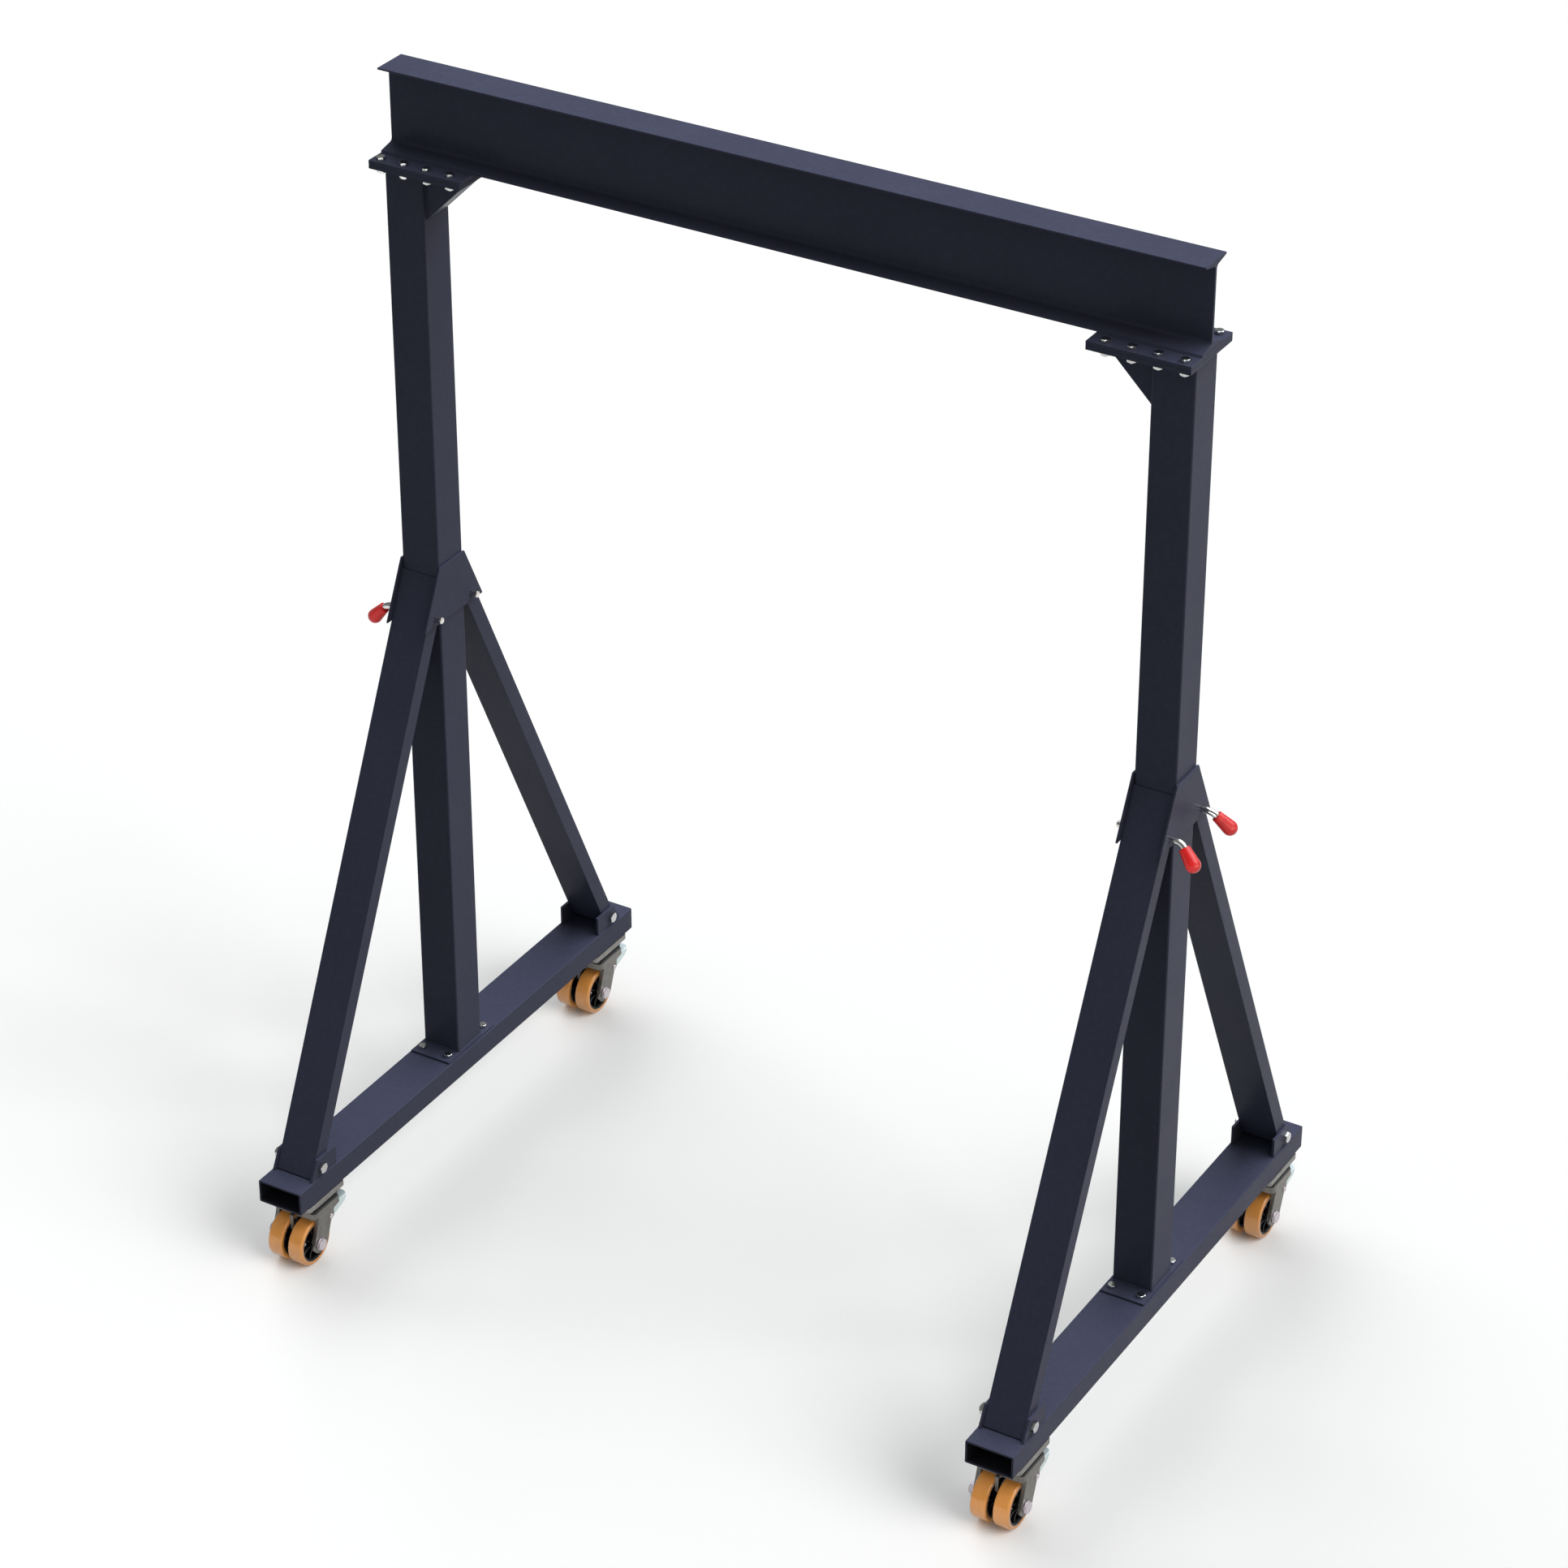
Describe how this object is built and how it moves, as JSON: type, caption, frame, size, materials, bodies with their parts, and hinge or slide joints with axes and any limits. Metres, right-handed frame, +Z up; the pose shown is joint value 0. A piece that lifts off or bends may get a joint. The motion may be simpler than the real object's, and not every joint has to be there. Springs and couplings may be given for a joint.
{
  "type": "portable gantry crane",
  "caption": "Portable gantry crane: an I-beam carried on braced square masts over base tubes with locking pins and braked swivel casters.",
  "frame": {"origin": "on the floor below the middle of the beam, at the centre of the four casters' swivel axes", "axes": "+X along the beam to the right leg, +Y across to the rear, +Z up"},
  "size_m": [2.1704, 1.456, 2.805],
  "materials": {
    "frame_paint": "gloss",
    "bolt_zinc": "bright zinc plated",
    "pin_chrome": "bright",
    "grip_red": "soft gloss",
    "plate_zinc": "dull zinc plated",
    "raceway_black": "satin",
    "fork_zinc": "dull zinc plated",
    "axle_zinc": "bright zinc plated",
    "pedal_zinc": "blue-passivated zinc",
    "hub_black": "satin",
    "tread_amber": "gloss polyurethane"
  },
  "bodies": {
    "frame": {"beam": "frame_paint", "beam_plates": "frame_paint", "head_plate_left": "frame_paint", "head_plate_right": "frame_paint", "head_bolts": "bolt_zinc", "mast_left": "frame_paint", "mast_right": "frame_paint", "haunches": "frame_paint", "foot_plates": "frame_paint", "foot_bolts": "bolt_zinc", "bracket_plates": "frame_paint", "brace_left_front": "frame_paint", "brace_left_rear": "frame_paint", "brace_right_front": "frame_paint", "brace_right_rear": "frame_paint", "base_tube_left": "frame_paint", "base_tube_right": "frame_paint", "brace_lugs": "frame_paint", "pivot_bolts": "bolt_zinc", "caster_plates": "plate_zinc"},
    "lock_pin_left_front": {"lock_pin_left_front": "pin_chrome", "pin_grip_left_front": "grip_red"},
    "caster_left_front": {"raceway_left_front": "raceway_black", "fork_left_front": "fork_zinc", "axle_left_front": "axle_zinc"},
    "brake_pedal_left_front": {"pedal_left_front": "pedal_zinc"},
    "wheel_left_front_a": {"hub_left_front_a": "hub_black", "tread_left_front_a": "tread_amber"},
    "wheel_left_front_b": {"hub_left_front_b": "hub_black", "tread_left_front_b": "tread_amber"},
    "lock_pin_left_rear": {"lock_pin_left_rear": "pin_chrome", "pin_grip_left_rear": "grip_red"},
    "caster_left_rear": {"raceway_left_rear": "raceway_black", "fork_left_rear": "fork_zinc", "axle_left_rear": "axle_zinc"},
    "brake_pedal_left_rear": {"pedal_left_rear": "pedal_zinc"},
    "wheel_left_rear_a": {"hub_left_rear_a": "hub_black", "tread_left_rear_a": "tread_amber"},
    "wheel_left_rear_b": {"hub_left_rear_b": "hub_black", "tread_left_rear_b": "tread_amber"},
    "lock_pin_right_front": {"lock_pin_right_front": "pin_chrome", "pin_grip_right_front": "grip_red"},
    "caster_right_front": {"raceway_right_front": "raceway_black", "fork_right_front": "fork_zinc", "axle_right_front": "axle_zinc"},
    "brake_pedal_right_front": {"pedal_right_front": "pedal_zinc"},
    "wheel_right_front_a": {"hub_right_front_a": "hub_black", "tread_right_front_a": "tread_amber"},
    "wheel_right_front_b": {"hub_right_front_b": "hub_black", "tread_right_front_b": "tread_amber"},
    "lock_pin_right_rear": {"lock_pin_right_rear": "pin_chrome", "pin_grip_right_rear": "grip_red"},
    "caster_right_rear": {"raceway_right_rear": "raceway_black", "fork_right_rear": "fork_zinc", "axle_right_rear": "axle_zinc"},
    "brake_pedal_right_rear": {"pedal_right_rear": "pedal_zinc"},
    "wheel_right_rear_a": {"hub_right_rear_a": "hub_black", "tread_right_rear_a": "tread_amber"},
    "wheel_right_rear_b": {"hub_right_rear_b": "hub_black", "tread_right_rear_b": "tread_amber"}
  },
  "joints": [
    {"name": "lock_pin_left_front_pull", "type": "slide", "parent": "frame", "child": "lock_pin_left_front", "axis": [-1, 0, 0], "range_m": [0, 0.16]},
    {"name": "caster_left_front_swivel", "type": "hinge", "parent": "frame", "child": "caster_left_front", "pos_m": [-0.95, -0.627, 0.18], "axis": [0, 0, 1], "continuous": true},
    {"name": "brake_pedal_left_front_tilt", "type": "hinge", "parent": "caster_left_front", "child": "brake_pedal_left_front", "pos_m": [-0.95, -0.615, 0.11], "axis": [1, 0, 0], "range_deg": [-20, 0]},
    {"name": "wheel_left_front_a_spin", "type": "hinge", "parent": "caster_left_front", "child": "wheel_left_front_a", "pos_m": [-0.95, -0.664, 0.06], "axis": [1, 0, 0], "continuous": true},
    {"name": "wheel_left_front_b_spin", "type": "hinge", "parent": "caster_left_front", "child": "wheel_left_front_b", "pos_m": [-0.95, -0.664, 0.06], "axis": [1, 0, 0], "continuous": true},
    {"name": "lock_pin_left_rear_pull", "type": "slide", "parent": "frame", "child": "lock_pin_left_rear", "axis": [-1, 0, 0], "range_m": [0, 0.16]},
    {"name": "caster_left_rear_swivel", "type": "hinge", "parent": "frame", "child": "caster_left_rear", "pos_m": [-0.95, 0.627, 0.18], "axis": [0, 0, 1], "continuous": true},
    {"name": "brake_pedal_left_rear_tilt", "type": "hinge", "parent": "caster_left_rear", "child": "brake_pedal_left_rear", "pos_m": [-0.95, 0.639, 0.11], "axis": [1, 0, 0], "range_deg": [-20, 0]},
    {"name": "wheel_left_rear_a_spin", "type": "hinge", "parent": "caster_left_rear", "child": "wheel_left_rear_a", "pos_m": [-0.95, 0.59, 0.06], "axis": [1, 0, 0], "continuous": true},
    {"name": "wheel_left_rear_b_spin", "type": "hinge", "parent": "caster_left_rear", "child": "wheel_left_rear_b", "pos_m": [-0.95, 0.59, 0.06], "axis": [1, 0, 0], "continuous": true},
    {"name": "lock_pin_right_front_pull", "type": "slide", "parent": "frame", "child": "lock_pin_right_front", "axis": [1, 0, 0], "range_m": [0, 0.16]},
    {"name": "caster_right_front_swivel", "type": "hinge", "parent": "frame", "child": "caster_right_front", "pos_m": [0.95, -0.627, 0.18], "axis": [0, 0, 1], "continuous": true},
    {"name": "brake_pedal_right_front_tilt", "type": "hinge", "parent": "caster_right_front", "child": "brake_pedal_right_front", "pos_m": [0.95, -0.615, 0.11], "axis": [1, 0, 0], "range_deg": [-20, 0]},
    {"name": "wheel_right_front_a_spin", "type": "hinge", "parent": "caster_right_front", "child": "wheel_right_front_a", "pos_m": [0.95, -0.664, 0.06], "axis": [1, 0, 0], "continuous": true},
    {"name": "wheel_right_front_b_spin", "type": "hinge", "parent": "caster_right_front", "child": "wheel_right_front_b", "pos_m": [0.95, -0.664, 0.06], "axis": [1, 0, 0], "continuous": true},
    {"name": "lock_pin_right_rear_pull", "type": "slide", "parent": "frame", "child": "lock_pin_right_rear", "axis": [1, 0, 0], "range_m": [0, 0.16]},
    {"name": "caster_right_rear_swivel", "type": "hinge", "parent": "frame", "child": "caster_right_rear", "pos_m": [0.95, 0.627, 0.18], "axis": [0, 0, 1], "continuous": true},
    {"name": "brake_pedal_right_rear_tilt", "type": "hinge", "parent": "caster_right_rear", "child": "brake_pedal_right_rear", "pos_m": [0.95, 0.639, 0.11], "axis": [1, 0, 0], "range_deg": [-20, 0]},
    {"name": "wheel_right_rear_a_spin", "type": "hinge", "parent": "caster_right_rear", "child": "wheel_right_rear_a", "pos_m": [0.95, 0.59, 0.06], "axis": [1, 0, 0], "continuous": true},
    {"name": "wheel_right_rear_b_spin", "type": "hinge", "parent": "caster_right_rear", "child": "wheel_right_rear_b", "pos_m": [0.95, 0.59, 0.06], "axis": [1, 0, 0], "continuous": true}
  ]
}
